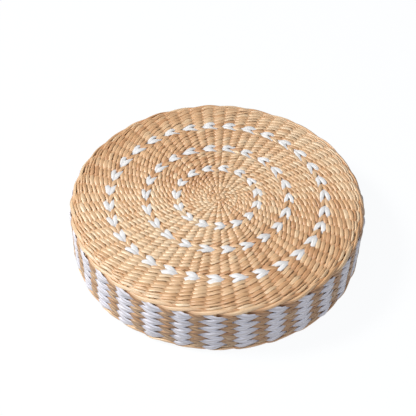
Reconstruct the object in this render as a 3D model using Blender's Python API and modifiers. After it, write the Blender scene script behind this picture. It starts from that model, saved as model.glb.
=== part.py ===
"""Round woven seat pad: a foam core in a cloth liner, inside a twined straw cover.

Metres, +Z up. The origin is the centre of the underside, where the pad rests.
The cover is countered twining. Two strands pass round radial stakes and twist
between them, so each strand floats over every second stake. Three rings on the
top and every row of the side pair a white strand with a straw strand.
"""
import math

import bmesh
import bpy

# ---------------------------------------------------------------- driving sizes
DIAMETER = 0.400
HEIGHT = 0.080

CLEARANCE = 0.0003          # between any two pieces that touch
WEAVE_DEPTH = 0.0045        # from the outside to the back of the weft strands
STAKE_THICKNESS = 0.0020
STAKE_WIDTH = 0.0030
LINER_THICKNESS = 0.0008

START_RADIUS = 0.0045       # knot at the middle of each panel
HUB_MARGIN = 0.0010         # room between the crossed hub and the first stakes
RIM_INSET = 0.016           # how far in the top edge starts to round over
RIM_RISE = 0.010            # how far that rounding drops
RIM_HEIGHT = 0.0085         # height of the rim border
FLAT_MARGIN = 0.004         # how far the flat layers run on under the rim, past its inset
DROP_MARGIN = 0.0035        # how far the cut under the rim runs down behind the side
BORDER_HEIGHT = 0.0065      # height of the lower border
BORDER_ROUND = 0.0035       # rounding of the lower edge
FLOAT_DIP = 0.0012          # how far a ring strand dips between its floats

# ---------------------------------------------------------------- weave counts
ROWS = {"center": 8, "inner_ring": 2, "inner": 5, "middle_ring": 2,
        "middle": 6, "outer_ring": 2, "outer": 5}
ROW_WIDENING = 0.076        # rows grow wider from the middle to the rim
CHEVRONS = {"inner_ring": 15, "middle_ring": 22, "outer_ring": 31}
TURN = {"inner_ring": 9.7, "middle_ring": 0.0, "outer_ring": 2.7}   # degrees
SIDE_ROWS = 10
BASE_STAKES = 31
RIM_ARC_POINTS = 4
KNOT_CORNERS = 16

# ---------------------------------------------------------------- derived sizes
RADIUS = DIAMETER / 2
STAKES = 2 * CHEVRONS["outer_ring"]
STAKE_STEP = 2 * math.pi / STAKES
STAKE_TOP_DEPTH = WEAVE_DEPTH + CLEARANCE
LINER_DEPTH = STAKE_TOP_DEPTH + STAKE_THICKNESS + CLEARANCE
CORE_DEPTH = LINER_DEPTH + LINER_THICKNESS + CLEARANCE
SIDE_TOP = HEIGHT - RIM_HEIGHT
SIDE_PITCH = (SIDE_TOP - BORDER_HEIGHT) / SIDE_ROWS
HALF_GAP = CLEARANCE / 2
EDGE_INSET = RIM_INSET - FLAT_MARGIN
EDGE_DROP = RIM_HEIGHT + DROP_MARGIN
EDGE_TILT = math.atan2(EDGE_DROP, EDGE_INSET)

# ---------------------------------------------------------------- scene
for stale in list(bpy.data.objects):
    bpy.data.objects.remove(stale, do_unlink=True)

PAD = bpy.data.collections.new("woven_seat_pad")
GUIDES = bpy.data.collections.new("guides")
bpy.context.scene.collection.children.link(PAD)
bpy.context.scene.collection.children.link(GUIDES)


def material(name, color, roughness):
    """A plain finish for one kind of piece."""
    finish = bpy.data.materials.new(name)
    finish.use_nodes = True
    shader = finish.node_tree.nodes["Principled BSDF"]
    shader.inputs["Base Color"].default_value = (*color, 1)
    shader.inputs["Roughness"].default_value = roughness
    shader.inputs["Metallic"].default_value = 0
    finish.diffuse_color = (*color, 1)
    return finish


STRAW = material("straw", (0.72, 0.47, 0.25), 0.6)
WHITE_CORD = material("white_cord", (0.85, 0.86, 0.88), 0.7)
STAKE_STRAW = material("stake_straw", (0.58, 0.37, 0.18), 0.7)
LINER_CLOTH = material("liner_cloth", (0.80, 0.77, 0.70), 0.9)
FOAM = material("foam", (0.90, 0.88, 0.80), 0.95)


def add(name, data, finish):
    """Put one named piece in the pad's collection, with its finish."""
    piece = bpy.data.objects.new(name, data)
    piece.data.materials.append(finish)
    PAD.objects.link(piece)
    return piece


# ---------------------------------------------------------------- turned pieces
def turned(name, outline, corners, finish, turn=0.0):
    """Turn an outline of (radius, height) points about Z into a ring or disc.

    The outline runs clockwise, down its outer side. One that starts on the axis
    is left open there and makes a disc, and any other is closed.
    """
    points = [(radius, 0, height) for radius, height in outline]
    edges = [(k, k + 1) for k in range(len(points) - 1)]
    if outline[0][0] > 0:
        edges.append((len(points) - 1, 0))
    mesh = bpy.data.meshes.new(name)
    mesh.from_pydata(points, edges, [])
    piece = add(name, mesh, finish)
    piece.rotation_euler.z = turn
    screw = piece.modifiers.new("turn", "SCREW")
    screw.axis = "Z"
    screw.angle = 2 * math.pi
    screw.steps = screw.render_steps = corners
    screw.use_merge_vertices = True
    screw.merge_threshold = 0.00001
    screw.use_smooth_shade = False
    return piece


def across_flats(radius, corners):
    """Corner radius of a many-sided hole whose flats stand at this radius."""
    return radius / math.cos(math.pi / corners)


def band(name, inner, outer, low, high, corners, finish, turn=0.0):
    """A flat ring with a square section, clear of its neighbours."""
    hole = across_flats(inner + HALF_GAP, corners)
    edge = outer - HALF_GAP
    outline = [(hole, high), (edge, high), (edge, low), (hole, low)]
    return turned(name, outline, corners, finish, turn)


def baked(piece):
    """Swap a piece's modifiers for the mesh that they make."""
    graph = bpy.context.evaluated_depsgraph_get()
    mesh = bpy.data.meshes.new_from_object(piece.evaluated_get(graph))
    piece.modifiers.clear()
    piece.data = mesh
    return mesh


# ---------------------------------------------------------------- layers
def edge_points(depth):
    """The two corners of the edge cut on the layer this deep under the skin."""
    inset = EDGE_INSET + depth * math.tan(EDGE_TILT / 2)
    drop = EDGE_DROP + depth * math.tan(math.pi / 4 - EDGE_TILT / 2)
    return [(RADIUS - inset, HEIGHT - depth), (RADIUS - depth, HEIGHT - drop)]


def row_radius(row):
    """Where the top panel's row of this number starts, counted from the knot."""
    share = row / sum(ROWS.values())
    span = RADIUS - RIM_INSET - START_RADIUS
    return START_RADIUS + span * (share * (1 - ROW_WIDENING) + ROW_WIDENING * share ** 2)


def zone_rows():
    """First and last row of each zone of the top panel."""
    zones, first = {}, 0
    for zone, count in ROWS.items():
        zones[zone] = (first, first + count)
        first += count
    return zones


ZONES = zone_rows()


def zone_edges(zone):
    """Inner and outer radius of a zone of the top panel."""
    first, last = ZONES[zone]
    return row_radius(first), row_radius(last)


# ---------------------------------------------------------------- core and liner
def make_core():
    upper_in, upper_out = edge_points(CORE_DEPTH)
    outline = [(0, HEIGHT - CORE_DEPTH), upper_in, upper_out,
               (RADIUS - CORE_DEPTH, CORE_DEPTH), (0, CORE_DEPTH)]
    turned("foam_core", outline, BASE_STAKES, FOAM)


def make_liner():
    """A top panel that turns down over the edge, a side strip and a base disc."""
    inner_depth = LINER_DEPTH + LINER_THICKNESS
    outer_cut = edge_points(LINER_DEPTH)
    inner_cut = edge_points(inner_depth)
    outline = [(0, HEIGHT - LINER_DEPTH), *outer_cut, *reversed(inner_cut),
               (0, HEIGHT - inner_depth)]
    turned("liner_top", outline, BASE_STAKES, LINER_CLOTH)
    strip_top = inner_cut[1][1] - CLEARANCE
    strip = [(RADIUS - inner_depth, strip_top), (RADIUS - LINER_DEPTH, strip_top),
             (RADIUS - LINER_DEPTH, LINER_DEPTH), (RADIUS - inner_depth, LINER_DEPTH)]
    turned("liner_side", strip, BASE_STAKES, LINER_CLOTH)
    disc = [(0, inner_depth), (RADIUS - CORE_DEPTH, inner_depth),
            (RADIUS - CORE_DEPTH, LINER_DEPTH), (0, LINER_DEPTH)]
    turned("liner_base", disc, BASE_STAKES, LINER_CLOTH)


# ---------------------------------------------------------------- stakes
def strip_ring(name, outline, count):
    """A ring of equal flat strips, each cut to an outline in its radial plane."""
    curve = bpy.data.curves.new(name, "CURVE")
    curve.dimensions = "2D"
    curve.fill_mode = "BOTH"
    curve.extrude = STAKE_WIDTH / 2
    spline = curve.splines.new("POLY")
    spline.points.add(len(outline) - 1)
    for point, (radius, height) in zip(spline.points, outline):
        point.co = (radius, height, 0, 1)
    spline.use_cyclic_u = True
    strip = bpy.data.objects.new(name + "_outline", curve)
    strip.rotation_euler.x = math.pi / 2
    GUIDES.objects.link(strip)
    step = bpy.data.objects.new(name + "_step", None)
    step.rotation_euler = (math.pi / 2, 0, 2 * math.pi / count)
    GUIDES.objects.link(step)
    ring = strip.modifiers.new("ring", "ARRAY")
    ring.count = count
    ring.use_relative_offset = False
    ring.use_object_offset = True
    ring.offset_object = step
    graph = bpy.context.evaluated_depsgraph_get()
    mesh = bpy.data.meshes.new_from_object(strip.evaluated_get(graph))
    work = bmesh.new()
    work.from_mesh(mesh)
    bmesh.ops.remove_doubles(work, verts=work.verts, dist=0.00001)
    work.to_mesh(mesh)
    work.free()
    strips = bpy.data.objects.new(name, mesh)
    strips.matrix_world = strip.matrix_world
    strips.hide_render = True
    strips.display_type = "WIRE"
    GUIDES.objects.link(strips)
    bpy.data.objects.remove(strip)
    return strips


def make_stakes(name, count, face, back, bend, turn):
    """Stakes that cross at a hub in the middle and fan out as flat strips.

    They lie between the heights face and back, and bend lists the points of
    one strip's outline past the panel's flat part, from its face to its back.
    """
    hub = count * (STAKE_WIDTH + 2 * CLEARANCE) / (2 * math.pi) + HUB_MARGIN
    low, high = min(face, back), max(face, back)
    disc = [(0, high), (hub, high), (hub, low), (0, low)]
    stakes = turned(name, disc, count, STAKE_STRAW, turn)
    start = hub - STAKE_WIDTH
    strips = strip_ring(name + "_strips", [(start, face), *bend, (start, back)], count)
    strips.parent = stakes
    fan = stakes.modifiers.new("fan", "BOOLEAN")
    fan.operation = "UNION"
    fan.object = strips


def make_top_stakes():
    """Stakes that bend down at the rim and stand inside the side wall."""
    face = STAKE_TOP_DEPTH
    back = STAKE_TOP_DEPTH + STAKE_THICKNESS
    skin_cut = edge_points(face)
    back_cut = edge_points(back)
    foot = STAKE_TOP_DEPTH
    bend = [*skin_cut, (skin_cut[1][0], foot), (back_cut[1][0], foot), *reversed(back_cut)]
    turn = math.radians(TURN["outer_ring"])
    make_stakes("cover_stakes", STAKES, HEIGHT - face, HEIGHT - back, bend, turn)


def make_knot(name, low, high):
    """The knot at the middle of a panel, where its first strands start."""
    knot = START_RADIUS - HALF_GAP
    turned(name, [(0, high), (knot, high), (knot, low), (0, low)], KNOT_CORNERS, STRAW)


# ---------------------------------------------------------------- top panel
def strand_outline(inner, outer, corners):
    """Section of a strand that lies in the top panel: flat below, ridged above."""
    base = HEIGHT - WEAVE_DEPTH + FLOAT_DIP
    hole = across_flats(inner + HALF_GAP, corners)
    edge = outer - HALF_GAP
    return [((hole + edge) / 2, HEIGHT), (edge, base), (hole, base)]


def dip_between_floats(strand, floats, first_float):
    """Lower a ring strand halfway between its floats, where it passes under."""
    mesh = baked(strand)
    for vertex in mesh.vertices:
        angle = math.atan2(vertex.co.y, vertex.co.x)
        vertex.co.z -= FLOAT_DIP / 2 * (1 - math.cos(floats * (angle - first_float)))


def ring_strand(name, inner, outer, floats, turn, first_float, finish):
    """One strand of a white ring, high at its floats and lower between them."""
    corners = 2 * floats
    strand = turned(name, strand_outline(inner, outer, corners), corners, finish, turn)
    dip_between_floats(strand, floats, first_float)


def make_chevron_ring(ring):
    """Two rows with opposite twists, whose white strands lie side by side."""
    floats = CHEVRONS[ring]
    first, last = zone_edges(ring)
    middle = row_radius(ZONES[ring][0] + 1)
    inside = (first + middle) / 2
    outside = (middle + last) / 2
    turn = math.radians(TURN[ring])
    ring_strand(ring + "_white_1", inside, middle, floats, turn, 0, WHITE_CORD)
    ring_strand(ring + "_white_2", middle, outside, floats, turn, 0, WHITE_CORD)
    between = math.pi / floats
    ring_strand(ring + "_straw_1", first, inside, floats, turn, between, STRAW)
    ring_strand(ring + "_straw_2", outside, last, floats, turn, between, STRAW)


def make_top_wefts():
    """Plain straw rows, one band for each zone between the white rings."""
    corners = {"center": 2 * CHEVRONS["inner_ring"], "inner": 2 * CHEVRONS["middle_ring"],
               "middle": STAKES, "outer": STAKES}
    for zone, sides in corners.items():
        inner, outer = zone_edges(zone)
        band("top_weft_" + zone, inner, outer, HEIGHT - WEAVE_DEPTH, HEIGHT, sides, STRAW)


def make_rim():
    """The border that rolls the top panel over the edge."""
    shoulder = RADIUS - RIM_INSET
    hole = across_flats(shoulder + HALF_GAP, STAKES)
    low = SIDE_TOP + HALF_GAP
    end_angle = math.acos((RIM_RISE - RIM_HEIGHT + HALF_GAP) / RIM_RISE)
    arc = []
    for step in range(RIM_ARC_POINTS + 1):
        angle = end_angle * step / RIM_ARC_POINTS
        radius = shoulder + HALF_GAP + (RIM_INSET - HALF_GAP) * math.sin(angle)
        arc.append((radius, HEIGHT - RIM_RISE * (1 - math.cos(angle))))
    arc[0] = (hole, HEIGHT)
    upper, lower = edge_points(WEAVE_DEPTH)
    slope = (lower[0] - upper[0]) / (upper[1] - lower[1])
    toe = across_flats(upper[0] + (upper[1] - low) * slope, STAKES)
    back = [(toe, low), (across_flats(upper[0], STAKES), upper[1]), (hole, upper[1])]
    turned("rim_border", arc + back, STAKES, STRAW)


# ---------------------------------------------------------------- side wall
def side_strand(name, low, high, turn, finish):
    """A strand round the side, whose corners are its floats over the stakes."""
    corners = CHEVRONS["outer_ring"]
    back = across_flats(RADIUS - WEAVE_DEPTH, corners)
    middle = (low + high) / 2
    outline = [(back, high - HALF_GAP), (RADIUS, middle), (back, low + HALF_GAP)]
    turned(name, outline, corners, finish, turn)


def make_side():
    """Rows in pairs with opposite twists, so each pair's white strands adjoin."""
    turn = math.radians(TURN["outer_ring"])
    for row in range(SIDE_ROWS):
        high = SIDE_TOP - row * SIDE_PITCH
        middle = high - SIDE_PITCH / 2
        low = high - SIDE_PITCH
        upper_half, lower_half = (middle, high), (low, middle)
        white_below = row % 2 == 0
        white_half = lower_half if white_below else upper_half
        straw_half = upper_half if white_below else lower_half
        label = f"{row + 1:02d}"
        side_strand("side_white_" + label, *white_half, turn, WHITE_CORD)
        side_strand("side_straw_" + label, *straw_half, turn + STAKE_STEP, STRAW)


# ---------------------------------------------------------------- base
def make_base():
    """A plain twined disc, held by the border that closes the cover."""
    face = RADIUS - STAKE_TOP_DEPTH + HALF_GAP
    band("base_weft", START_RADIUS, face, 0, WEAVE_DEPTH, STAKES, STRAW)
    reach = RADIUS - LINER_DEPTH
    low = STAKE_TOP_DEPTH
    high = STAKE_TOP_DEPTH + STAKE_THICKNESS
    make_stakes("base_stakes", BASE_STAKES, low, high, [(reach, low), (reach, high)], 0)
    make_knot("base_knot", 0, WEAVE_DEPTH)
    top = BORDER_HEIGHT - HALF_GAP
    hole = across_flats(RADIUS - WEAVE_DEPTH, STAKES)
    border = [(hole, top), (RADIUS, top), (RADIUS, BORDER_ROUND),
              (RADIUS - BORDER_ROUND, 0), (hole, 0)]
    turned("base_border", border, STAKES, STRAW)


make_core()
make_liner()
make_top_stakes()
make_knot("top_knot", HEIGHT - WEAVE_DEPTH, HEIGHT)
make_top_wefts()
for ring_name in CHEVRONS:
    make_chevron_ring(ring_name)
make_rim()
make_side()
make_base()
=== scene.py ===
"""Looks of the round woven seat pad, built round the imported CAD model.

The cover is real twining: in every row two strands pass round the stakes and
twist between them. Each strand is its own tube, laid along a form that follows
the swollen core. Metres, +Z up, origin at the middle of the underside.
"""

import math

import bmesh
import bpy
import numpy as np
from mathutils import Matrix, Vector
from mathutils.bvhtree import BVHTree


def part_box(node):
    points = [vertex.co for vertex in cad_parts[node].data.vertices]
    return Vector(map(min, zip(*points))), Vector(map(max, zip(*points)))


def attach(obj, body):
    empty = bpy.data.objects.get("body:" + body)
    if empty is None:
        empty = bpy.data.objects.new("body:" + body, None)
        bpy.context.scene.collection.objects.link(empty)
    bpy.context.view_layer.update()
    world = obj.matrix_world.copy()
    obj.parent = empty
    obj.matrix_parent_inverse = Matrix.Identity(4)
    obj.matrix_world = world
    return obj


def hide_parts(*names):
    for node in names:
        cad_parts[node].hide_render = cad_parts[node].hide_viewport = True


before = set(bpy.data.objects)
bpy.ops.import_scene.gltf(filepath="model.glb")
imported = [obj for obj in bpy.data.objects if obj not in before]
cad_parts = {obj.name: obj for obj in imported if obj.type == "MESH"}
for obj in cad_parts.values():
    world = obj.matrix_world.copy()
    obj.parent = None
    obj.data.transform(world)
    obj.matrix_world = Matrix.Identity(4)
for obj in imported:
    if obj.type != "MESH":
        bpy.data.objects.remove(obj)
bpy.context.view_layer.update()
RNG = np.random.default_rng(20261)
LUMP_RNG = np.random.default_rng(20262)
FULL_TURN = 2 * math.pi

# ---------------------------------------------------------------- camera
SENSOR = 36                  # millimetres
CAMERA_LENS = 76.93
CAMERA_DISTANCE = 1.212
CAMERA_ELEVATION = math.radians(45.33)
CAMERA_ROLL = 0.0258
AIM = Vector((0, 0, 0.0672))            # middle of the pad at its widest level
CAMERA_YAW = math.radians(0.593)        # the view's middle lies left of the aim
CAMERA_PITCH = math.radians(0.390)      # and below it


def make_camera():
    """A camera at the photograph's angle, turned slightly so the pad sits as it does there."""
    data = bpy.data.cameras.new("camera")
    data.sensor_width = SENSOR
    data.lens = CAMERA_LENS
    camera = bpy.data.objects.new("camera", data)
    bpy.context.scene.collection.objects.link(camera)
    ahead = Vector((0, math.cos(CAMERA_ELEVATION), -math.sin(CAMERA_ELEVATION)))
    right = Vector((1, 0, 0))
    up = right.cross(ahead)
    rolled_right = right * math.cos(CAMERA_ROLL) + up * math.sin(CAMERA_ROLL)
    rolled_up = up * math.cos(CAMERA_ROLL) - right * math.sin(CAMERA_ROLL)
    axes = Matrix((rolled_right, rolled_up, -ahead)).transposed()
    yaw = Matrix.Rotation(CAMERA_YAW, 3, "Y")
    pitch = Matrix.Rotation(-CAMERA_PITCH, 3, "X")
    turned = (axes @ yaw @ pitch).to_4x4()
    turned.translation = AIM - ahead * CAMERA_DISTANCE
    camera.matrix_world = turned
    bpy.context.scene.camera = camera


make_camera()

# ---------------------------------------------------------------- counts in the weave
START_ROWS = 3               # the first rows go round fewer stakes
START_STAKES = 16
CENTER_STAKES = 30
INNER_STAKES = 44
OUTER_STAKES = 62
STAKES = {"center": CENTER_STAKES, "inner_ring": CENTER_STAKES,
          "inner": INNER_STAKES, "middle_ring": INNER_STAKES,
          "middle": OUTER_STAKES, "outer_ring": OUTER_STAKES, "outer": OUTER_STAKES}
CENTER_TURN = math.radians(9.7)         # from +X to the first stake
INNER_TURN = 0.0
OUTER_TURN = math.radians(2.7)
TURN = {"center": CENTER_TURN, "inner_ring": CENTER_TURN,
        "inner": INNER_TURN, "middle_ring": INNER_TURN,
        "middle": OUTER_TURN, "outer_ring": OUTER_TURN, "outer": OUTER_TURN}
ROWS = {"center": 8, "inner": 5, "middle": 6, "outer": 5}
RIM_PLAIN_ROWS = 2
RIM_LONG_ROW = 1.5           # breadth of the rim's row of long floats, in plain rows
SIDE_ROWS = 10
BASE_ROWS = 28

# the outermost CAD node of each zone of the top, from the middle outwards
OUTERMOST = {"center": "top_weft_center", "inner_ring": "inner_ring_straw_2",
             "inner": "top_weft_inner", "middle_ring": "middle_ring_straw_2",
             "middle": "top_weft_middle", "outer_ring": "outer_ring_straw_2",
             "outer": "top_weft_outer"}


# ---------------------------------------------------------------- sizes from the frame
def reach(node):
    """Largest distance of a CAD node from the Z axis."""
    return max(math.hypot(v.co.x, v.co.y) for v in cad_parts[node].data.vertices)


def zone_edges():
    """Inner and outer radius of each zone of the top."""
    edges, low = {}, reach("top_knot")
    for zone, node in OUTERMOST.items():
        edges[zone] = (low, reach(node))
        low = reach(node)
    return edges


RADIUS = reach("base_border")
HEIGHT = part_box("top_knot")[1].z
SIDE_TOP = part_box("side_straw_01")[1].z
SIDE_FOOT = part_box("base_border")[1].z
TOP_EDGES = zone_edges()

# ---------------------------------------------------------------- weave sizes
WEAVE_HALF = 0.0028          # from the stakes' middle to the crest of a float
RIM_INSET = 0.0165           # rounding of the form at the rim
RIM_RISE = 0.0095
BASE_ROUND = 0.0050
BASE_EDGE = 0.0005           # past that rounding, where the base's first row starts
KNOT_DRIFT = (0.0020, -0.0035)     # the start of the weave lies a little off centre
SEGMENTS = 8                 # steps along a strand for each stake
SIDES = 10                   # sides of a strand
FLATTENING = 0.75            # below 1, a strand is flat on its crest and underneath
BUNDLE = 0.13                # how unevenly the straws of a strand bulge
FULLNESS_SPLICE = 0.2        # chance at each float that a thicker or thinner straw starts
TONE_SPLICE = 0.16           # chance at each float that a straw of another tone starts
TONE_SPREAD = 0.20
TONE_FLUTTER = 0.09
PAINTED_SHEEN = 0.19                # painted sheen: straw is paler on two opposite sides of the pad, where its fibres catch the light
PAINTED_SHEEN_TOWARDS = math.radians(42)

# ---------------------------------------------------------------- form
ARC_POINTS = 40
FLAT_POINTS = 80
FORM_POINTS = 1200
FACES_DOWN = -0.7            # the normal's height where the form turns to the base
LIES_FLAT = -0.999


def form_line():
    """The form's outline from the middle of the top, over the rim, to the middle of the base."""
    outer = RADIUS - WEAVE_HALF
    top = HEIGHT - WEAVE_HALF
    quarter = np.linspace(0, math.pi / 2, ARC_POINTS)
    rim_r = outer - RIM_INSET + RIM_INSET * np.sin(quarter)
    rim_z = top - RIM_RISE + RIM_RISE * np.cos(quarter)
    foot_r = outer - BASE_ROUND + BASE_ROUND * np.cos(quarter)
    foot_z = WEAVE_HALF + BASE_ROUND - BASE_ROUND * np.sin(quarter)
    flat = np.linspace(0, outer - RIM_INSET, FLAT_POINTS)[:-1]
    wall = np.linspace(rim_z[-1], foot_z[0], ARC_POINTS)[1:-1]
    under = np.linspace(outer - BASE_ROUND, 0, FLAT_POINTS)[1:]
    r = np.concatenate([flat, rim_r, np.full(len(wall), outer), foot_r, under])
    z = np.concatenate([np.full(len(flat), top), rim_z, wall, foot_z,
                        np.full(len(under), WEAVE_HALF)])
    return r, z


def form_table():
    """Arc length, radius, height and outward normal along the form's outline, evenly spaced."""
    r, z = form_line()
    length = np.concatenate([[0], np.cumsum(np.hypot(np.diff(r), np.diff(z)))])
    even = np.linspace(0, length[-1], FORM_POINTS)
    r, z = np.interp(even, length, r), np.interp(even, length, z)
    dr, dz = np.gradient(r, even), np.gradient(z, even)
    size = np.hypot(dr, dz)
    return even, r, z, -dz / size, dr / size


FORM_S, FORM_R, FORM_Z, FORM_NR, FORM_NZ = form_table()


def station_at_height(z):
    """Arc length at which the form's outer side passes this height."""
    side = (FORM_R > RADIUS - WEAVE_HALF - RIM_INSET) & (FORM_NZ > FACES_DOWN)
    return float(np.interp(-z, -FORM_Z[side], FORM_S[side]))


def station_under(radius):
    """Arc length at which the form's underside passes this radius."""
    under = FORM_NZ < LIES_FLAT
    return float(np.interp(-radius, -FORM_R[under], FORM_S[under]))


SWELL = {"depth": None}      # filled by read_swell, over stations and angles


def swell_at(angle, station):
    """How far the core pushes the form out here, read from the simulated core."""
    if SWELL["depth"] is None:
        return np.zeros_like(angle)
    grid = SWELL["depth"]
    rows, columns = grid.shape
    row = np.clip(station / FORM_S[-1] * (rows - 1), 0, rows - 1.001)   # a next row remains
    column = (angle / FULL_TURN % 1) * columns
    i, j = row.astype(int), column.astype(int) % columns
    u, v = row - i, column - np.floor(column)
    k = (j + 1) % columns
    return ((grid[i, j] * (1 - v) + grid[i, k] * v) * (1 - u)
            + (grid[i + 1, j] * (1 - v) + grid[i + 1, k] * v) * u)


def place(angle, station, lift):
    """Points and outward normals over the form, from angle, arc length and height above it."""
    r = np.interp(station, FORM_S, FORM_R)
    z = np.interp(station, FORM_S, FORM_Z)
    nr = np.interp(station, FORM_S, FORM_NR)
    nz = np.interp(station, FORM_S, FORM_NZ)
    out = lift + swell_at(angle, station)
    r, z = r + nr * out, z + nz * out
    cosine, sine = np.cos(angle), np.sin(angle)
    drift = (1 - (station / TOP_EDGES["inner_ring"][0]) ** 2).clip(0) ** 2
    x, y = r * cosine + drift * KNOT_DRIFT[0], r * sine + drift * KNOT_DRIFT[1]
    return np.stack([x, y, z], -1), np.stack([nr * cosine, nr * sine, nz], -1)


# ---------------------------------------------------------------- hand-made unevenness
def uneven_stakes(count, spread):
    """How far each stake strays from its even place, in stake spacings."""
    return RNG.normal(0, spread, count).clip(-2 * spread, 2 * spread)


STAKE_SPREAD = {START_STAKES: 0.08, CENTER_STAKES: 0.07, INNER_STAKES: 0.10, OUTER_STAKES: 0.055}
STRAY = {count: uneven_stakes(count, spread) for count, spread in STAKE_SPREAD.items()}
STRAY[OUTER_STAKES // 2] = STRAY[OUTER_STAKES]      # every second one of the same stakes


def strayed(angle, stakes, turn):
    """Move angles along with the stakes of this zone, which stand a little unevenly."""
    offsets = STRAY[stakes]
    spacing = FULL_TURN / len(offsets)
    position = (angle - turn) / spacing
    low = np.floor(position)
    share = 0.5 - 0.5 * np.cos(math.pi * (position - low))
    low = low.astype(int) % len(offsets)
    high = (low + 1) % len(offsets)
    return angle + spacing * (offsets[low] * (1 - share) + offsets[high] * share)


def straw_lengths(floats, splice, spread, flutter):
    """A value for each float that stays alike along one length of straw, then jumps at a splice."""
    values, value = np.zeros(floats), RNG.normal(0, spread)
    for k in range(floats):
        if RNG.random() < splice:
            value = RNG.normal(0, spread)
        values[k] = value + RNG.normal(0, flutter)
    return values


WAVE_TURNS = (2, 3, 5, 8, 13)
WAVE_POINTS = 361
WAVE_SUM = 1.5               # about the size of those waves together


def row_wave(size):
    """A row's slow drift off its true circle, as angles and a random wave of about this size."""
    angles = np.linspace(0, FULL_TURN, WAVE_POINTS)
    wave = np.zeros_like(angles)
    for turns in WAVE_TURNS:
        wave += RNG.normal(0, 1) * np.sin(turns * angles + RNG.uniform(0, FULL_TURN)) / turns ** 0.5
    return angles, wave * size / WAVE_SUM


# ---------------------------------------------------------------- strands
def unit(vectors):
    return vectors / np.linalg.norm(vectors, axis=1, keepdims=True)


def strand_course(stakes, turn, kind, first):
    """A strand's way round the pad: for each step its angle, its phase and its float's number."""
    laps = 1 if stakes % 2 == 0 else 2
    steps = stakes * laps * kind["segments"]
    twist = stakes / 2
    start = turn + math.pi * (1 + first) / twist
    angle = start + FULL_TURN * laps * np.arange(steps) / steps
    phase = twist * (angle - turn) - math.pi * first
    floats = stakes * laps // 2
    number = np.floor(phase / FULL_TURN + 0.5).astype(int) % floats
    return strayed(angle, stakes, turn), phase, number, floats


def tube(centre, normal, width, thick, bulge):
    """Rings of points round a strand's middle line. bulge holds a factor for each point."""
    ahead = unit(np.roll(centre, -1, 0) - np.roll(centre, 1, 0))
    side = unit(np.cross(ahead, normal))
    up = np.cross(side, ahead)
    round_angle = FULL_TURN * np.arange(bulge.shape[1]) / bulge.shape[1]
    flat = np.sign(np.sin(round_angle)) * np.abs(np.sin(round_angle)) ** FLATTENING
    return (centre[:, None]
            + side[:, None] * (np.cos(round_angle) * bulge * width[:, None])[..., None]
            + up[:, None] * (flat * bulge * thick[:, None])[..., None])


def strand(station, pitch, stakes, turn, hand, kind, first, drift):
    """One strand of a twined row, as rings of points with what its material reads.

    It rises over every second stake and dives between them. hand is 1 where it
    slants outwards as the angle grows, and -1 where it slants inwards. first is
    0 for the strand that floats over the first stake, and 1 for the other. With
    an odd number of stakes the two strands are one, which goes round twice.
    drift is the row's wave, as row_wave makes it.
    """
    angle, phase, number, floats = strand_course(stakes, turn, kind, first)
    shown = 0.5 + 0.5 * np.cos(phase)

    def shifted(spread):
        return RNG.normal(0, spread, floats)[number] * shown

    slant = hand * kind["slant"] * pitch * np.sin(phase)
    wave = np.interp(angle % FULL_TURN, *drift)
    across = station + wave + slant + shifted(kind["stray"] * pitch)
    lift = kind["swing"] * (np.cos(phase) + shifted(kind["stray"])) + kind["proud"]
    centre, normal = place(angle, across, lift)
    pinch = kind["pinch"] + (1 - kind["pinch"]) * shown ** kind["taper"]
    vary = kind["vary"]
    fullness = 1 + straw_lengths(floats, FULLNESS_SPLICE, vary, vary / 2)[number] * shown
    width = kind["width"] * pitch / 2 * pinch * fullness
    # a strand is a little thinner at its dives, and where it is slim
    thick = kind["thick"] / 2 * (0.85 + 0.15 * shown) * (0.5 + 0.5 * fullness)
    bulge = 1 + RNG.normal(0, BUNDLE, (floats, kind["sides"]))[number] * shown[:, None]
    rings = tube(centre, normal, width, thick, bulge)
    step = np.linalg.norm(np.roll(centre, -1, 0) - centre, axis=1)
    along = np.concatenate([[0], np.cumsum(step)[:-1]])
    tone = 0.5 + straw_lengths(floats, TONE_SPLICE, TONE_SPREAD, TONE_FLUTTER)[number]
    # painted sheen: the tone is paler on two opposite sides of the pad, standing in for the light
    # that the fibres catch there
    tone = (tone + PAINTED_SHEEN * np.cos(2 * (angle - PAINTED_SHEEN_TOWARDS))).clip(0, 1)
    return {"rings": rings, "along": along, "tone": tone, "dive": shown,
            "seed": RNG.uniform(0, 50)}


# ---------------------------------------------------------------- meshes of the weave
MAP_MARGIN = 0.02            # of a strip's breadth on the baking map, on either side
MAP_BREADTH = 0.96


def add_fields(mesh, tones, dives, fibres):
    """Store what the strand materials read at each point: its tone, dive and fibre."""
    for label, kind, key, values in (("tone", "FLOAT", "value", tones),
                                     ("dive", "FLOAT", "value", dives),
                                     ("fibre", "FLOAT_VECTOR", "vector", fibres)):
        field = mesh.attributes.new(label, kind, "POINT")
        field.data.foreach_set(key, np.asarray(values, float).ravel())


def tube_quads(steps, sides):
    """Faces of a closed tube, with the step and side at which each begins."""
    i = np.repeat(np.arange(steps), sides)
    k = np.tile(np.arange(sides), steps)
    i2, k2 = (i + 1) % steps, (k + 1) % sides
    return np.stack([i * sides + k, i2 * sides + k, i2 * sides + k2, i * sides + k2], -1), i, k


def tube_map(place_in_row, per_strip, strips, k, sides):
    """Corners on the baking map: the strands lie end to end in strips of even length."""
    column, strip = place_in_row % per_strip, place_in_row // per_strip
    left, right = column / per_strip, (column + 1) / per_strip
    low = (strip + MAP_MARGIN + MAP_BREADTH * k / sides) / strips
    high = (strip + MAP_MARGIN + MAP_BREADTH * (k + 1) / sides) / strips
    return np.stack([left, low, right, low, right, high, left, high], -1)


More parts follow.
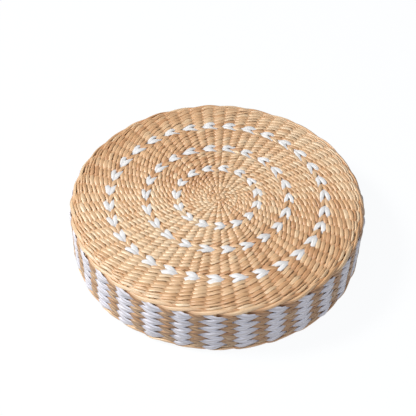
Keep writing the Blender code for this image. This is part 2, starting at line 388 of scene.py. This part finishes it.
def quad_mesh(name, places, faces, corners):
    """A mesh of four-sided faces with its map for baking."""
    mesh = bpy.data.meshes.new(name)
    mesh.vertices.add(len(places))
    mesh.vertices.foreach_set("co", places.ravel())
    mesh.loops.add(faces.size)
    mesh.loops.foreach_set("vertex_index", faces.ravel().astype(np.int32))
    mesh.polygons.add(len(faces))
    mesh.polygons.foreach_set("loop_start", np.arange(0, faces.size, 4, dtype=np.int32))
    mesh.update(calc_edges=True)
    layer = mesh.uv_layers.new(name="OFBake")
    layer.uv.foreach_set("vector", corners.ravel())
    return mesh


def weave_mesh(name, strands):
    """One mesh of closed tubes, with what their material reads and a map for baking."""
    total = sum(len(s["rings"]) for s in strands)
    sides = strands[0]["rings"].shape[1]
    strips = max(1, round(math.sqrt(total / sides / 2)))
    per_strip = math.ceil(total / strips)
    faces, corners, fibres = [], [], []
    passed = 0
    for s in strands:
        steps = len(s["rings"])
        quads, i, k = tube_quads(steps, sides)
        faces.append(quads + passed * sides)
        corners.append(tube_map(i + passed, per_strip, strips, k, sides))
        around = np.tile(np.arange(sides) / sides, steps)
        fibres.append(np.stack([np.repeat(s["along"], sides), around,
                                np.full(steps * sides, s["seed"])], -1))
        passed += steps
    places = np.concatenate([s["rings"].reshape(-1, 3) for s in strands])
    mesh = quad_mesh(name, places, np.concatenate(faces), np.concatenate(corners))
    tones = np.concatenate([np.repeat(s["tone"], sides) for s in strands])
    dives = np.concatenate([np.repeat(s["dive"], sides) for s in strands])
    add_fields(mesh, tones, dives, np.concatenate(fibres))
    mesh.shade_smooth()
    mesh.validate()
    return mesh


def add_piece(name, mesh, finish, slot, *nodes):
    """Show a new piece in place of these CAD nodes, riding on the pad's one body."""
    piece = bpy.data.objects.new(name, mesh)
    mesh.materials.clear()
    mesh.materials.append(finish)
    bpy.context.scene.collection.objects.link(piece)
    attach(piece, "root")
    if nodes:
        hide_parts(*nodes)
    return piece


# ---------------------------------------------------------------- material nodes
MIX_COLORS = (6, 7)          # a Mix node's colour inputs
MIX_RESULT = 2               # and its colour output
SEED_SPACING = 7.0           # keeps the fibres of two strands apart in the noise
FIBRE_RELIEF = 0.0006
REFRACTION = 1.6


def node_material(name, roughness, sheen, specular):
    material = bpy.data.materials.new(name)
    material.use_nodes = True
    shader = material.node_tree.nodes["Principled BSDF"]
    shader.inputs["Roughness"].default_value = roughness
    shader.inputs["Sheen Weight"].default_value = sheen
    shader.inputs["Specular IOR Level"].default_value = specular
    shader.inputs["IOR"].default_value = REFRACTION
    return material, material.node_tree, shader


def read_field(tree, name, output):
    """One of the fields that add_fields stores, as a node's output."""
    node = tree.nodes.new("ShaderNodeAttribute")
    node.attribute_name = name
    return node.outputs[output]


def fibre_parts(tree):
    """How far along its strand a point lies, how far round it, and the strand's seed."""
    separate = tree.nodes.new("ShaderNodeSeparateXYZ")
    tree.links.new(read_field(tree, "fibre", "Vector"), separate.inputs[0])
    return separate.outputs


def calculate(tree, operation, *values):
    """The result of a Math node, whose inputs are outputs of other nodes or numbers."""
    node = tree.nodes.new("ShaderNodeMath")
    node.operation = operation
    for socket, value in zip(node.inputs, values):
        if isinstance(value, bpy.types.NodeSocket):
            tree.links.new(value, socket)
        else:
            socket.default_value = value
    return node.outputs[0]


def fibre_coordinates(tree, along_scale, around_scale):
    """Coordinates that run along a strand, stretched so that noise becomes fibres."""
    along, around, seed = fibre_parts(tree)
    turn = calculate(tree, "MULTIPLY", around, FULL_TURN)
    combine = tree.nodes.new("ShaderNodeCombineXYZ")
    for operation, socket in (("COSINE", "X"), ("SINE", "Y")):
        scaled = calculate(tree, "MULTIPLY", calculate(tree, operation, turn), around_scale)
        tree.links.new(scaled, combine.inputs[socket])
    shift = calculate(tree, "MULTIPLY", seed, SEED_SPACING)
    length = calculate(tree, "MULTIPLY_ADD", along, along_scale, shift)
    tree.links.new(length, combine.inputs["Z"])
    return combine.outputs[0]


def noise(tree, coordinates, scale, detail, roughness):
    node = tree.nodes.new("ShaderNodeTexNoise")
    node.inputs["Scale"].default_value = scale
    node.inputs["Detail"].default_value = detail
    node.inputs["Roughness"].default_value = roughness
    tree.links.new(coordinates, node.inputs["Vector"])
    return node.outputs[0]


def ramp(tree, value, stops):
    """Colours for a value, from pairs of a position and a colour."""
    node = tree.nodes.new("ShaderNodeValToRGB")
    elements = node.color_ramp.elements
    while len(elements) < len(stops):
        elements.new(0.5)
    for element, (position, color) in zip(elements, stops):
        element.position = position
        element.color = (*color, 1)
    tree.links.new(value, node.inputs[0])
    return node.outputs[0]


def multiplied(tree, amount, *colors):
    """One colour multiplied by another, by an amount from 0 to 1."""
    node = tree.nodes.new("ShaderNodeMix")
    node.data_type = "RGBA"
    node.blend_type = "MULTIPLY"
    node.inputs[0].default_value = amount
    for color, socket in zip(colors, MIX_COLORS):
        tree.links.new(color, node.inputs[socket])
    return node.outputs[MIX_RESULT]


# ---------------------------------------------------------------- materials
PLAIN = (1, 1, 1)            # leaves a colour as it is
# painted shade: a dark line down a strand's crest, where its straws part
PARTING_SHADE = (0.52, 0.45, 0.40)
PARTING_STOPS = [(0.17, PLAIN), (0.24, PARTING_SHADE), (0.27, PARTING_SHADE), (0.34, PLAIN)]
PATCH_STOPS = [(0.35, (0.88, 0.84, 0.78)), (0.65, (1.06, 1.05, 1.03))]


def strand_material(name, tones, *, streak, shade, roughness, sheen, bump, specular, parting,
                    streak_depth=0.6):
    """Fibres along a strand, a tone for each float, painted shade at its dives and along the line
    between its straws.

    Round a strand its crest is at a quarter turn, where the parting line lies.
    """
    material, tree, shader = node_material(name, roughness, sheen, specular)
    color = ramp(tree, read_field(tree, "tone", "Fac"), tones)
    coarse = noise(tree, fibre_coordinates(tree, 60, 1.1), 1.0, 3.0, 0.5)
    fine = noise(tree, fibre_coordinates(tree, 90, 4.5), 1.0, 4.0, 0.7)
    color = multiplied(tree, streak_depth, color, ramp(tree, fine, [(0.30, streak), (0.62, PLAIN)]))
    color = multiplied(tree, 0.8, color, ramp(tree, coarse, PATCH_STOPS))
    # painted shade: a strand darkens towards its dives between the stakes
    dives = ramp(tree, read_field(tree, "dive", "Fac"), [(0.15, shade), (0.75, PLAIN)])
    color = multiplied(tree, 0.8, color, dives)
    around = fibre_parts(tree)["Y"]
    color = multiplied(tree, parting, color, ramp(tree, around, PARTING_STOPS))
    tree.links.new(color, shader.inputs["Base Color"])
    relief = tree.nodes.new("ShaderNodeBump")
    relief.inputs["Strength"].default_value = bump
    relief.inputs["Distance"].default_value = FIBRE_RELIEF
    tree.links.new(fine, relief.inputs["Height"])
    tree.links.new(relief.outputs[0], shader.inputs["Normal"])
    return material


def liner_material():
    """Plain lining cloth, dulled by painted shade as it lies under the weave."""
    material, tree, shader = node_material("liner_cloth", 0.9, 0.2, 0.2)
    coordinates = tree.nodes.new("ShaderNodeTexCoord")
    weave = noise(tree, coordinates.outputs["Object"], 900, 2.0, 0.5)
    color = ramp(tree, weave, [(0.3, (0.58, 0.40, 0.24)), (0.7, (0.68, 0.49, 0.31))])
    tree.links.new(color, shader.inputs["Base Color"])
    return material


STRAW_TONES = [(0.0, (0.56, 0.320, 0.165)), (0.3, (0.64, 0.410, 0.230)),
               (0.5, (0.695, 0.475, 0.290)), (0.7, (0.715, 0.530, 0.345)),
               (1.0, (0.76, 0.61, 0.44))]
# painted shade: the side wall's straw is a darker, greyer copy of the top's, standing in for the
# shade that falls on the side
SIDE_SHADE = (0.74, 0.70, 0.68)
SIDE_TONES = [(position, tuple(s * c for s, c in zip(SIDE_SHADE, color)))
              for position, color in STRAW_TONES]
STRAW = strand_material(
    "straw", STRAW_TONES, streak=(0.76, 0.62, 0.48), shade=(0.80, 0.59, 0.42),
    roughness=0.44, sheen=0.0, bump=0.45, specular=0.8, parting=0.32)
SHADED_SIDE_STRAW = strand_material(
    "side_straw", SIDE_TONES, streak=(0.64, 0.50, 0.38), shade=(0.70, 0.52, 0.38),
    roughness=0.5, sheen=0.0, bump=0.6, specular=0.5, parting=0.8, streak_depth=0.9)
WHITE = strand_material(
    "white_cord", [(0.0, (0.67, 0.685, 0.72)), (1.0, (0.74, 0.755, 0.79))],
    streak=(0.88, 0.89, 0.92), shade=(0.76, 0.76, 0.80),
    roughness=0.6, sheen=0.25, bump=0.35, specular=0.3, parting=0.12)
# painted shade: the side's white cord is a darker, bluer copy of the top's, standing in for the
# cool shade on the side wall
SHADED_SIDE_WHITE = strand_material(
    "shaded_side_white_cord", [(0.0, (0.61, 0.62, 0.72)), (1.0, (0.68, 0.69, 0.79))],
    streak=(0.86, 0.87, 0.92), shade=(0.74, 0.74, 0.80),
    roughness=0.6, sheen=0.25, bump=0.35, specular=0.3, parting=0.5)
STAKE = strand_material(
    "stake_straw", [(0.0, (0.60, 0.40, 0.22)), (1.0, (0.72, 0.50, 0.29))],
    streak=(0.7, 0.6, 0.5), shade=(0.8, 0.7, 0.6),
    roughness=0.6, sheen=0.1, bump=0.3, specular=0.3, parting=0.0)
LINER = liner_material()

# ---------------------------------------------------------------- kinds of strand
# width: breadth of a float, in row pitches    thick: a float's thickness
# swing: rise over the stakes                  slant: sideways run of a float, in pitches
# proud: height over the form                  pinch: breadth at a dive, as a share
# taper: below 1, a float keeps its breadth    vary, stray: unevenness of breadth and place
STRAW_STRAND = {"width": 0.955, "thick": 0.0024, "swing": 0.0015, "slant": 0.33, "proud": 0.0,
                "pinch": 0.56, "taper": 0.85, "vary": 0.09, "stray": 0.05,
                "segments": SEGMENTS, "sides": SIDES}
LONG_STRAND = {**STRAW_STRAND, "width": 1.12, "thick": 0.0030, "swing": 0.0009,
               "slant": 0.52, "proud": 0.0005, "pinch": 0.35, "segments": 2 * SEGMENTS}
RIM_STRAND = {**LONG_STRAND, "width": 0.94, "slant": 0.34, "pinch": 0.55, "proud": 0.0012}
BORDER_STRAND = {**LONG_STRAND, "swing": 0.0005, "proud": 0.0013, "stray": 0.03}
WHITE_STRAND = {**STRAW_STRAND, "width": 1.12, "slant": 0.26, "proud": 0.0002,
                "pinch": 0.50, "taper": 0.6, "vary": 0.07, "stray": 0.03}
BEHIND_STRAND = {**STRAW_STRAND, "width": 1.0, "slant": 0.27, "proud": -0.0002}
SIDE_WHITE = {**WHITE_STRAND, "width": 1.22, "slant": 0.27, "pinch": 0.32, "taper": 0.80}
SIDE_STRAW = {**BEHIND_STRAND, "width": 0.98, "slant": 0.32, "proud": -0.0005,
              "pinch": 0.45, "vary": 0.12, "stray": 0.08}
BASE_STRAND = {**STRAW_STRAND, "segments": 6, "sides": 6}
ZONE_WAVE = 0.0004           # how far the rows of a zone drift together
OWN_WAVE = 0.00025           # and each on its own
PAIR_WAVE = 0.0003           # and a row of one white and one straw strand


# ---------------------------------------------------------------- woven pieces
def straw_rows(stations, pitch, stakes, turn, kind):
    """Both strands of each of these rows, which drift together and a little on their own."""
    strands = []
    angles, shared = row_wave(ZONE_WAVE)
    for station in stations:
        drift = angles, shared + row_wave(OWN_WAVE)[1]
        for first in range(1 if stakes % 2 else 2):
            strands.append(strand(station, pitch, stakes, turn, -1, kind, first, drift))
    return strands


def row_stations(low, high, count):
    """The middle of each of these even rows, and their pitch."""
    pitch = (high - low) / count
    return [low + pitch * (k + 0.5) for k in range(count)], pitch


def make_top():
    """The straw zones of the top. The first rows of the centre go round fewer stakes."""
    for zone, count in ROWS.items():
        stations, pitch = row_stations(*TOP_EDGES[zone], count)
        first = START_ROWS if zone == "center" else 0
        strands = straw_rows(stations[first:], pitch, STAKES[zone], TURN[zone], STRAW_STRAND)
        strands += straw_rows(stations[:first], pitch, START_STAKES, TURN[zone], STRAW_STRAND)
        mesh = weave_mesh("top_rows_" + zone, strands)
        add_piece("top_rows_" + zone, mesh, STRAW, "straw", "top_weft_" + zone)


def make_paired_row(label, station, pitch, turn, stakes, hand, kinds, finishes, nodes):
    """A row of one white and one straw strand, each in place of its own CAD node."""
    drift = row_wave(PAIR_WAVE)
    white = strand(station, pitch, stakes, turn, hand, kinds[0], 0, drift)
    straw = strand(station, pitch, stakes, turn, hand, kinds[1], 1, drift)
    add_piece("white_" + label, weave_mesh("white_" + label, [white]), finishes[0],
              "white_cord", nodes[0])
    add_piece("straw_" + label, weave_mesh("straw_" + label, [straw]), finishes[1],
              "straw", nodes[1])


def make_rings():
    """Each ring is two rows with opposite twists, so their white floats make chevrons."""
    for ring in ("inner_ring", "middle_ring", "outer_ring"):
        stations, pitch = row_stations(*TOP_EDGES[ring], 2)
        for number, (station, hand) in enumerate(zip(stations, (1, -1)), 1):
            nodes = (f"{ring}_white_{number}", f"{ring}_straw_{number}")
            make_paired_row(f"{ring}_{number}", station, pitch, TURN[ring], STAKES[ring], hand,
                            (WHITE_STRAND, BEHIND_STRAND), (WHITE, STRAW), nodes)


def make_rim():
    """Plain rows, then a broad row whose long floats pass over two stakes at a time."""
    low = TOP_EDGES["outer"][1]
    high = station_at_height(SIDE_TOP)
    pitch = (high - low) / (RIM_PLAIN_ROWS + RIM_LONG_ROW)
    stations = [low + pitch * (k + 0.5) for k in range(RIM_PLAIN_ROWS)]
    strands = straw_rows(stations, pitch, OUTER_STAKES, OUTER_TURN, STRAW_STRAND)
    broad = low + pitch * (RIM_PLAIN_ROWS + RIM_LONG_ROW / 2)
    strands += straw_rows([broad], RIM_LONG_ROW * pitch, OUTER_STAKES // 2, OUTER_TURN, RIM_STRAND)
    add_piece("rim_rows", weave_mesh("rim_rows", strands), STRAW, "straw", "rim_border")


def make_side():
    """Rows with twists by turns either way, so their white floats make zigzag columns."""
    stations, pitch = row_stations(station_at_height(SIDE_TOP), station_at_height(SIDE_FOOT),
                                   SIDE_ROWS)
    for number, station in enumerate(stations, 1):
        hand = 1 if number % 2 else -1
        nodes = (f"side_white_{number:02d}", f"side_straw_{number:02d}")
        make_paired_row(f"side_{number:02d}", station, pitch, OUTER_TURN, OUTER_STAKES, hand,
                        (SIDE_WHITE, SIDE_STRAW), (SHADED_SIDE_WHITE, SHADED_SIDE_STRAW), nodes)


def make_base():
    """The lower border and the plain base, whose inner rows go round every second stake."""
    foot = station_at_height(SIDE_FOOT)
    rim = station_under(RADIUS - WEAVE_HALF - BASE_ROUND) + BASE_EDGE
    border = straw_rows([(foot + rim) / 2], rim - foot, OUTER_STAKES // 2, OUTER_TURN,
                        BORDER_STRAND)
    add_piece("base_border_row", weave_mesh("base_border_row", border), STRAW, "straw",
              "base_border")
    stations, pitch = row_stations(rim, station_under(reach("base_knot")), BASE_ROWS)
    outer = [s for s in stations if np.interp(s, FORM_S, FORM_R) > RADIUS / 2]
    inner = stations[len(outer):]
    strands = straw_rows(outer, pitch, OUTER_STAKES, OUTER_TURN, BASE_STRAND)
    strands += straw_rows(inner, pitch, OUTER_STAKES // 2, OUTER_TURN, BASE_STRAND)
    add_piece("base_rows", weave_mesh("base_rows", strands), STRAW, "straw", "base_weft")


# ---------------------------------------------------------------- stakes and knots
STRIP_STEP = 0.006
STRIP_DIVE = 0.8
STAKE_INNER = 0.016          # radius at which the top's stakes start, round the knot
BASE_STAKE_INNER = 0.020
BASE_STAKE_INSET = 0.010     # from the pad's edge to the base's stakes
CENTER_STRIP = (0.0030, 0.0008)         # breadth and thickness of a stake
INNER_STRIP = (0.0040, 0.0008)
OUTER_STRIP = (0.0045, 0.0009)
BASE_STRIP = (0.0034, 0.0009)
KNOT_STEPS = 64
KNOT_SIDES = 8
KNOT_LAPS = 2
KNOT_TUBE = 0.0015
KNOT_OUTER = 0.75            # radius of its outer end, as a share of the knot's
KNOT_CLOSING = 0.85          # how much of that it loses on its way in
KNOT_DEPTH = 0.0020          # from the panel's face to the middle of the coil's outer end
KNOT_RISE = 0.0008           # and how much nearer its inner end lies


def strip(angle, stations, width, thick):
    """The corners of one flat straw along the form, four at each station."""
    centre, normal = place(angle, stations, np.zeros(len(stations)))
    side = np.stack([-np.sin(angle), np.cos(angle), np.zeros(len(stations))], -1)
    across = np.array([-1, 1, 1, -1]) / 2 * width
    depth = np.array([-1, -1, 1, 1]) / 2 * thick
    corners = (centre[:, None] + side[:, None] * across[None, :, None]
               + normal[:, None] * depth[None, :, None])
    return corners.reshape(-1, 3)


def strip_faces(base, steps):
    """Four long sides and two ends for a strip whose first corner has this number."""
    faces = [(low + k, low + (k + 1) % 4, low + 4 + (k + 1) % 4, low + 4 + k)
             for low in range(base, base + 4 * (steps - 1), 4) for k in range(4)]
    faces.append(tuple(base + k for k in (3, 2, 1, 0)))
    faces.append(tuple(base + 4 * (steps - 1) + k for k in range(4)))
    return faces


def strip_mesh(name, groups):
    """Flat stakes along the form, in groups of (count, turn, first station, last, width, thick)."""
    verts, faces, tones, fibres = [], [], [], []
    base = 0
    for count, turn, first, last, width, thick in groups:
        steps = max(2, int(abs(last - first) / STRIP_STEP))
        stations = np.linspace(first, last, steps)
        for number in range(count):
            even = np.full(steps, turn + FULL_TURN * number / count)
            verts.append(strip(strayed(even, count, turn), stations, width, thick))
            faces += strip_faces(base, steps)
            base += 4 * steps
            tones += [RNG.uniform(0, 1)] * (4 * steps)
            fibres += [(float(s), k / 4, number * 0.37) for s in stations for k in range(4)]
    mesh = bpy.data.meshes.new(name)
    mesh.from_pydata(np.concatenate(verts).tolist(), [], faces)
    add_fields(mesh, tones, np.full(base, STRIP_DIVE), fibres)
    mesh.update()
    return mesh


def make_stakes():
    """The straws that the rows go round. New ones join in the middle of each of two rings."""
    inner_join = sum(TOP_EDGES["inner_ring"]) / 2
    middle_join = sum(TOP_EDGES["middle_ring"]) / 2
    cover = [(CENTER_STAKES, CENTER_TURN, STAKE_INNER, inner_join, *CENTER_STRIP),
             (INNER_STAKES, INNER_TURN, inner_join, middle_join, *INNER_STRIP),
             (OUTER_STAKES, OUTER_TURN, middle_join, station_at_height(SIDE_FOOT), *OUTER_STRIP)]
    add_piece("cover_stake_strips", strip_mesh("cover_stake_strips", cover), STAKE,
              "stake_straw", "cover_stakes")
    edge, half_way = station_under(RADIUS - BASE_STAKE_INSET), station_under(RADIUS / 2)
    end = station_under(BASE_STAKE_INNER)
    base = [(OUTER_STAKES, OUTER_TURN, edge, half_way, *OUTER_STRIP),
            (OUTER_STAKES // 2, OUTER_TURN, half_way, end, *BASE_STRIP)]
    add_piece("base_stake_strips", strip_mesh("base_stake_strips", base), STAKE,
              "stake_straw", "base_stakes")


def coil_mesh(name, radius, face, up, aside):
    """A tight coil on a panel's face. up is 1 on the top and -1 on the base."""
    turn = np.linspace(0, FULL_TURN * KNOT_LAPS, KNOT_STEPS)
    share = turn / turn[-1]
    r = radius * KNOT_OUTER * (1 - share * KNOT_CLOSING)
    z = face - up * (KNOT_DEPTH - KNOT_RISE * share)
    centre = np.stack([r * np.cos(turn) + aside[0], r * np.sin(turn) + aside[1], z], -1)
    radial = np.stack([np.cos(turn), np.sin(turn), 0 * turn], -1)
    ring_angle = FULL_TURN * np.arange(KNOT_SIDES) / KNOT_SIDES
    rings = (centre[:, None] + radial[:, None] * np.cos(ring_angle)[None, :, None] * KNOT_TUBE
             + np.array([0, 0, 1.0]) * np.sin(ring_angle)[None, :, None] * KNOT_TUBE * up)
    quads, i, _ = tube_quads(KNOT_STEPS, KNOT_SIDES)
    faces = quads[i < KNOT_STEPS - 1].tolist()
    faces.append(list(range(KNOT_SIDES)))
    faces.append([(KNOT_STEPS - 1) * KNOT_SIDES + k for k in range(KNOT_SIDES)])
    mesh = bpy.data.meshes.new(name)
    mesh.from_pydata(rings.reshape(-1, 3).tolist(), [], faces)
    points = KNOT_STEPS * KNOT_SIDES
    fibres = np.stack([np.repeat(turn * radius / 2, KNOT_SIDES),
                       np.tile(np.arange(KNOT_SIDES) / KNOT_SIDES, KNOT_STEPS),
                       np.zeros(points)], -1)
    add_fields(mesh, np.full(points, 0.5), np.ones(points), fibres)
    mesh.update()
    face_outwards(mesh)
    mesh.shade_smooth()
    return mesh


def face_outwards(mesh):
    """Turn the faces of a closed mesh so that they all face out."""
    shape = bmesh.new()
    shape.from_mesh(mesh)
    bmesh.ops.recalc_face_normals(shape, faces=shape.faces)
    shape.to_mesh(mesh)
    shape.free()


def make_knots():
    """The first strand starts as a tight coil at the middle of each panel."""
    for panel, face, up, aside in (("top", HEIGHT, 1, KNOT_DRIFT), ("base", 0, -1, (0, 0))):
        name, node = f"{panel}_knot_coil", f"{panel}_knot"
        add_piece(name, coil_mesh(name, reach(node), face, up, aside), STRAW, "straw", node)


# ---------------------------------------------------------------- stuffed core
CORE_DEPTH = 0.0026          # from the form to the lining, under the weave
SWELL_CAP = 0.0022           # the most that the stuffing pushes the lining out
LUMPS = 0.0012               # unevenness of the hand-filled core
LUMP_WAVES = 8
LUMP_RATE = 60               # radians per metre
CORE_VOXEL = 0.005
CORE_CORNERS = 96
CORE_STRIDE = 15             # the core's outline takes every 15th point of the form's
PRESSURE = 4
FRAMES = 20
SWELL_ROWS, SWELL_COLUMNS = 180, 120


def core_mesh():
    """A closed turned form, which starts small enough to swell up to the weave."""
    depth = CORE_DEPTH + SWELL_CAP
    outline = list(zip(FORM_R - FORM_NR * depth, FORM_Z - FORM_NZ * depth))[::CORE_STRIDE]
    turns = [FULL_TURN * k / CORE_CORNERS for k in range(CORE_CORNERS)]
    shape = bmesh.new()
    rings = [[shape.verts.new((r * math.cos(t), r * math.sin(t), z)) for t in turns]
             for r, z in outline if r > CORE_VOXEL]
    for upper, lower in zip(rings, rings[1:]):
        for k in range(CORE_CORNERS):
            n = (k + 1) % CORE_CORNERS
            shape.faces.new((upper[k], lower[k], lower[n], upper[n]))
    shape.faces.new(rings[0])
    shape.faces.new(list(reversed(rings[-1])))
    bmesh.ops.recalc_face_normals(shape, faces=shape.faces)
    mesh = bpy.data.meshes.new("stuffed_core")
    shape.to_mesh(mesh)
    shape.free()
    return mesh


def evaluated_mesh(piece):
    graph = bpy.context.evaluated_depsgraph_get()
    return bpy.data.meshes.new_from_object(piece.evaluated_get(graph))


def vertex_array(mesh):
    places = np.empty(len(mesh.vertices) * 3, np.float32)
    mesh.vertices.foreach_get("co", places)
    return places.reshape(-1, 3).astype(float)


def lumpy(places):
    """Move points in and out by slow waves, as a hand-filled core is uneven."""
    out = unit(places - [0, 0, HEIGHT / 2])
    waves = 0
    for _ in range(LUMP_WAVES):
        size = LUMP_RNG.normal(0, 1)
        course = places @ LUMP_RNG.normal(0, LUMP_RATE, 3)
        waves = waves + size * np.sin(course + LUMP_RNG.uniform(0, 6))
    return places + out * (waves / 3 * LUMPS)[:, None]


def swell(piece):
    """Let pressure from the stuffing push the lining out, and keep the capped result."""
    remesh = piece.modifiers.new("even_mesh", "REMESH")
    remesh.mode = "VOXEL"
    remesh.voxel_size = CORE_VOXEL
    piece.data = evaluated_mesh(piece)
    piece.modifiers.clear()
    start = lumpy(vertex_array(piece.data))
    piece.data.vertices.foreach_set("co", start.ravel())
    cloth = piece.modifiers.new("stuffing", "CLOTH")
    cloth.settings.use_pressure = True
    cloth.settings.uniform_pressure_force = PRESSURE
    cloth.settings.effector_weights.gravity = 0
    cloth.point_cache.frame_end = FRAMES
    for number in range(1, FRAMES + 1):
        bpy.context.scene.frame_set(number)
    end = vertex_array(evaluated_mesh(piece))
    piece.modifiers.clear()
    bpy.context.scene.frame_set(1)
    move = end - start
    length = np.linalg.norm(move, axis=1, keepdims=True)
    move *= SWELL_CAP / np.maximum(length, SWELL_CAP)
    piece.data.vertices.foreach_set("co", (start + move).ravel())
    piece.data.update()


def read_swell(piece):
    """How far the swollen core stands from its even form, over stations and angles."""
    tree = BVHTree.FromObject(piece, bpy.context.evaluated_depsgraph_get())
    depth = np.zeros((SWELL_ROWS, SWELL_COLUMNS))
    reach_in = HEIGHT / 4
    angles = FULL_TURN * np.arange(SWELL_COLUMNS) / SWELL_COLUMNS
    stations = np.linspace(0, FORM_S[-1], SWELL_ROWS)
    for i, station in enumerate(stations):
        points, normals = place(angles, np.full(SWELL_COLUMNS, station), -reach_in)
        for j in range(SWELL_COLUMNS):
            hit = tree.ray_cast(Vector(points[j]), Vector(normals[j]))
            if hit[0] is not None:
                depth[i, j] = hit[3] - reach_in + CORE_DEPTH
    depth -= np.median(depth, axis=1, keepdims=True)
    depth[np.interp(stations, FORM_S, FORM_NZ) < FACES_DOWN] = 0
    SWELL["depth"] = depth.clip(-LUMPS, LUMPS)


def make_core():
    """The stuffed core in its lining, swollen by its filling."""
    core = add_piece("stuffed_core", core_mesh(), LINER, "liner_cloth",
                     "foam_core", "liner_top", "liner_side", "liner_base")
    swell(core)
    read_swell(core)
    core.data.materials.clear()
    core.data.materials.append(LINER)
    smooth = core.modifiers.new("smooth", "SUBSURF")
    smooth.levels = smooth.render_levels = 1
    core.data = evaluated_mesh(core)
    core.modifiers.clear()
    core.data.shade_smooth()


# ---------------------------------------------------------------- stage
FLOOR_SIZE = 12.0
FLOOR_DROP = 0.0018          # the floor lies just below the weave
FLOOR_COLOR = (0.05, 0.05, 0.05, 1)
FLOOR_GLOW_COLOR = (0.98, 0.99, 1.0, 1)
FLOOR_GLOW = 0.95            # keeps the pale floor pale next to the pad
WORLD_COLOR = (0.90, 0.94, 1.0, 1)
WORLD_STRENGTH = 0.19
KEY_FROM = Vector((-2.75, 0.00, 3.05))
KEY_SIZE = 1.0
KEY_POWER = 191
KEY_COLOR = (1.0, 0.97, 0.92)
FILL_FROM = Vector((-0.30, -1.20, 1.90))
FILL_SIZE = 1.6
FILL_POWER = 20
FILL_COLOR = (0.98, 0.99, 1.0)


def make_floor():
    """A pale floor, which glows a little so that the pad's shadow stays faint."""
    mesh = bpy.data.meshes.new("floor")
    shape = bmesh.new()
    bmesh.ops.create_grid(shape, x_segments=1, y_segments=1, size=FLOOR_SIZE / 2)
    shape.to_mesh(mesh)
    shape.free()
    material, _, shader = node_material("floor", 0.95, 0.0, 0.0)
    shader.inputs["Base Color"].default_value = FLOOR_COLOR
    shader.inputs["Emission Color"].default_value = FLOOR_GLOW_COLOR
    shader.inputs["Emission Strength"].default_value = FLOOR_GLOW
    mesh.materials.append(material)
    floor = bpy.data.objects.new("floor", mesh)
    floor.location.z = -FLOOR_DROP
    bpy.context.scene.collection.objects.link(floor)


def area_light(name, position, size, power, color):
    """A square light that faces the pad."""
    data = bpy.data.lights.new(name, "AREA")
    data.size = size
    data.energy = power
    data.color = color
    lamp = bpy.data.objects.new(name, data)
    lamp.location = position
    lamp.rotation_euler = (AIM - position).to_track_quat("-Z", "Y").to_euler()
    bpy.context.scene.collection.objects.link(lamp)


def make_stage():
    """A pale floor, a key light from the left, a soft fill from the front and a dim sky."""
    make_floor()
    world = bpy.data.worlds.new("studio")
    world.use_nodes = True
    background = world.node_tree.nodes["Background"]
    background.inputs["Color"].default_value = WORLD_COLOR
    background.inputs["Strength"].default_value = WORLD_STRENGTH
    bpy.context.scene.world = world
    area_light("key", KEY_FROM, KEY_SIZE, KEY_POWER, KEY_COLOR)
    area_light("fill", FILL_FROM, FILL_SIZE, FILL_POWER, FILL_COLOR)
    bpy.context.scene.view_settings.view_transform = "Standard"


make_core()
make_stakes()
make_knots()
make_top()
make_rings()
make_rim()
make_side()
make_base()
make_stage()
